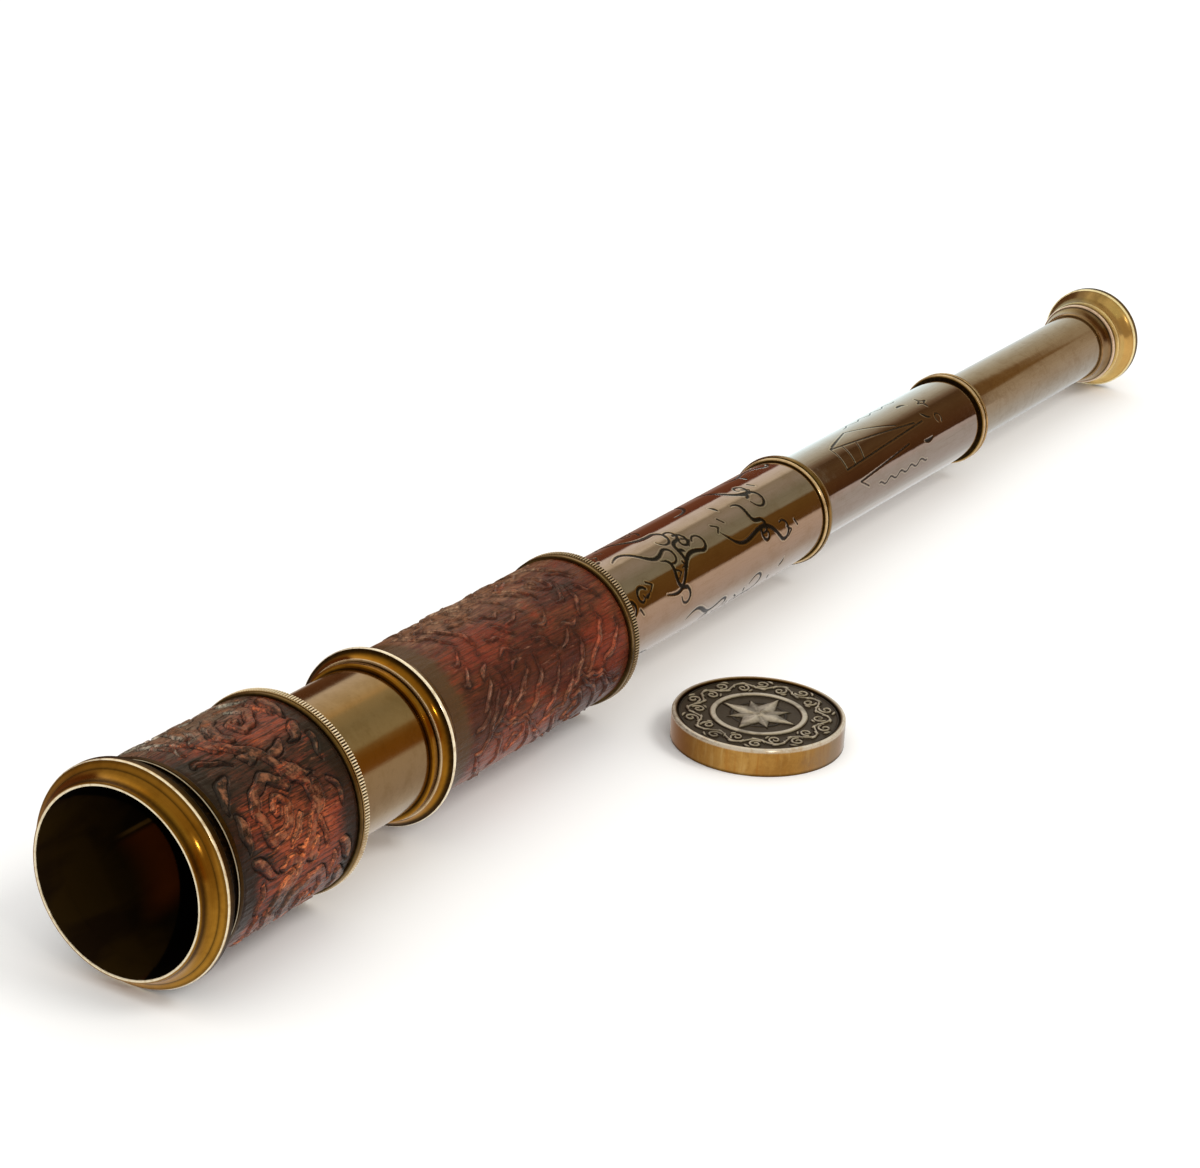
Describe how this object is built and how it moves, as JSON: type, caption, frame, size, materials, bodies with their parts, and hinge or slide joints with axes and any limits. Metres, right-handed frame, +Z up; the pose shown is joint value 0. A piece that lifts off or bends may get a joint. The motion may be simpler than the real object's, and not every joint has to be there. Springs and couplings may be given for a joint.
{
  "type": "spyglass",
  "caption": "Hand-held draw-tube spyglass in brass with tooled leather grips, a sliding sunshade, telescoping draws with a flared eyecup, and a loose push-in lens cap.",
  "frame": {"origin": "centre of the sunshade's mouth, in the plane of its lip, with the sunshade forward and every draw tube out", "axes": "+X along the optical axis from the mouth to the eyepiece, +Z up as it lies, and the lens cap lies on the -Y side"},
  "size_m": [0.4736, 0.0911, 0.0504],
  "materials": {
    "aged_brass": "antiqued and polished, with faint drawing marks",
    "polished_brass": "antiqued, brown-lacquered and polished",
    "ochre_brass": "antiqued golden-ochre lacquer, brighter on its edges",
    "bright_brass": "polished, lightly lacquered",
    "blackened_brass": "matt black paint inside, worn in places",
    "dark_pewter": "blackened in the hollows, rubbed bright on the relief",
    "tooled_leather": "hand-rubbed red-brown over black, embossed, waxed",
    "lens_glass": "clear, polished"
  },
  "bodies": {
    "barrel": {"main_tube": "aged_brass", "barrel_leather": "tooled_leather", "front_flange": "ochre_brass", "rear_guide_ring": "ochre_brass", "objective_cell": "blackened_brass", "objective_retaining_ring": "blackened_brass", "objective_crown_lens": "lens_glass", "objective_flint_lens": "lens_glass"},
    "sunshade": {"shade_tube": "blackened_brass", "shade_leather": "tooled_leather", "shade_bezel": "ochre_brass", "shade_rear_ring": "ochre_brass"},
    "draw_1": {"draw_1_tube": "polished_brass", "draw_1_bush": "ochre_brass", "draw_1_collar": "ochre_brass"},
    "draw_2": {"draw_2_tube": "polished_brass", "draw_2_bush": "ochre_brass", "draw_2_collar": "ochre_brass"},
    "draw_3": {"draw_3_tube": "polished_brass", "draw_3_bush": "ochre_brass", "erector_cartridge": "blackened_brass", "erector_front_lens": "lens_glass", "erector_stop": "blackened_brass", "erector_rear_lens": "lens_glass", "eyepiece_cell": "blackened_brass", "field_lens": "lens_glass", "field_stop": "blackened_brass", "eye_lens": "lens_glass", "eyepiece_collar": "ochre_brass", "eyecup": "bright_brass"},
    "lens_cap": {"cap_shell": "ochre_brass", "cap_medallion": "dark_pewter"}
  },
  "joints": [
    {"name": "sunshade_slide", "type": "slide", "parent": "barrel", "child": "sunshade", "axis": [1, 0, 0], "range_m": [0, 0.03]},
    {"name": "draw_1_slide", "type": "slide", "parent": "barrel", "child": "draw_1", "axis": [1, 0, 0], "range_m": [-0.1004, 0]},
    {"name": "draw_2_slide", "type": "slide", "parent": "draw_1", "child": "draw_2", "axis": [1, 0, 0], "range_m": [-0.0915, 0]},
    {"name": "draw_3_focus_slide", "type": "slide", "parent": "draw_2", "child": "draw_3", "axis": [1, 0, 0], "range_m": [-0.082, 0]},
    {"name": "lens_cap_lift", "type": "slide", "parent": "barrel", "child": "lens_cap", "axis": [0, 0, 1], "range_m": [0, 0.06]}
  ]
}
